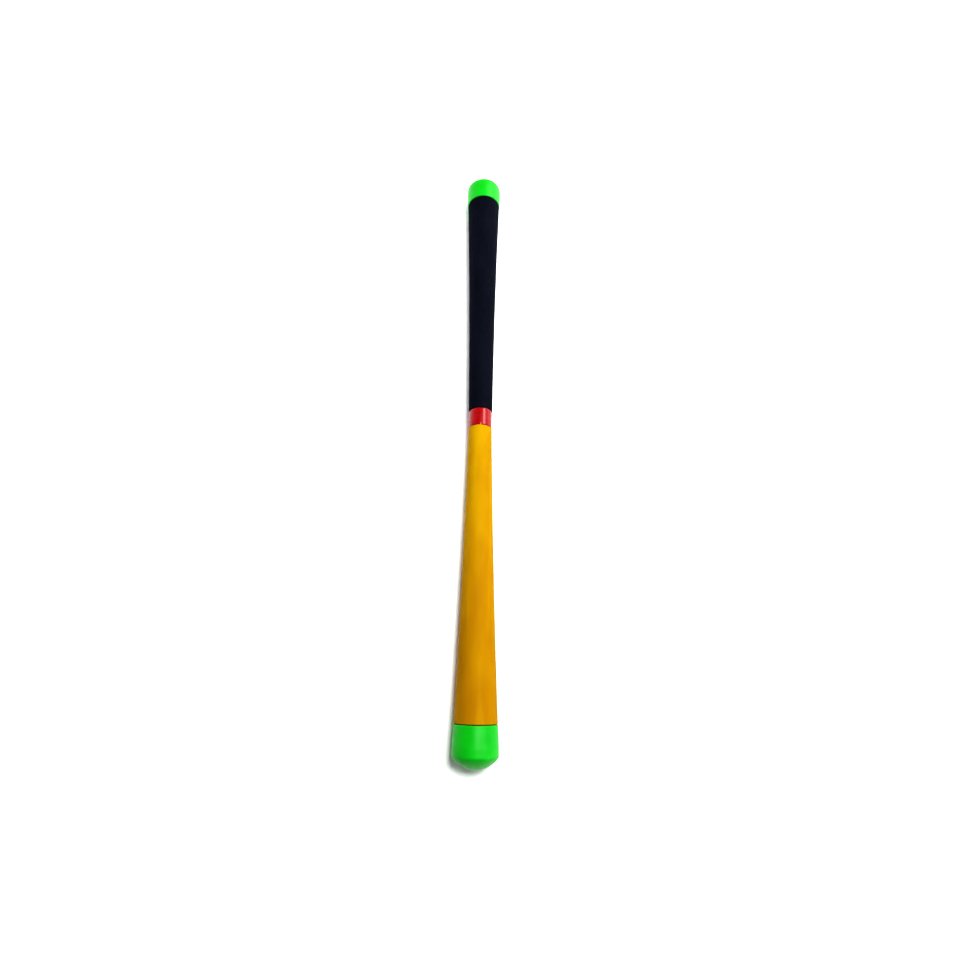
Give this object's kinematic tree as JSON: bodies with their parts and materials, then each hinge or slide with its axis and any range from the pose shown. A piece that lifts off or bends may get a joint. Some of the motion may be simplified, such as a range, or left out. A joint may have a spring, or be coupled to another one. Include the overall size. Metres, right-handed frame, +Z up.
{
  "type": "swing trainer stick",
  "caption": "Weighted hourglass practice stick, narrow at the ringed waist and wide at both ends, half dark grip and half bright barrel, with pull-off rubber end caps.",
  "frame": {"origin": "on the stick's axis at mid-length, at the centre of the waist ring", "axes": "+Y along the stick towards the butt, the dark grip half; -Y towards the head, the bright half; +Z up as the stick lies"},
  "size_m": [0.042, 0.68, 0.042],
  "materials": {
    "green_rubber": "satin bright green moulded rubber",
    "black_rubber": "matte near-black rubber covering",
    "yellow_rubber": "satin amber-yellow rubber covering, faintly mottled",
    "red_ring": "glossy red moulded plastic",
    "body_shell": "plain off-white moulded plastic, hidden under the coverings",
    "plug_plastic": "matte dark grey moulded plastic",
    "coupler_tube": "cut aluminium tube",
    "beech": "sanded beech dowel",
    "weight_steel": "turned mild steel",
    "fastener_steel": "bright zinc-plated steel",
    "foam": "closed-cell dark grey foam"
  },
  "bodies": {
    "stick": {"core_dowel": "beech", "waist_coupler": "coupler_tube", "waist_ring": "red_ring", "head_body": "body_shell", "butt_body": "body_shell", "barrel_sleeve": "yellow_rubber", "grip_sleeve": "black_rubber", "head_spacer": "foam", "butt_spacer": "foam", "head_plug": "plug_plastic", "butt_plug": "plug_plastic", "head_weight": "weight_steel", "butt_weight": "weight_steel", "head_washer": "fastener_steel", "butt_washer": "fastener_steel", "head_screw": "fastener_steel", "butt_screw": "fastener_steel", "head_pad": "foam", "butt_pad": "foam"},
    "head_cap": {"head_cap": "green_rubber"},
    "butt_cap": {"butt_cap": "green_rubber"}
  },
  "joints": [
    {"name": "head_cap_pull", "type": "slide", "parent": "stick", "child": "head_cap", "axis": [0, -1, 0], "range_m": [0, 0.045]},
    {"name": "butt_cap_pull", "type": "slide", "parent": "stick", "child": "butt_cap", "axis": [0, 1, 0], "range_m": [0, 0.045]}
  ]
}
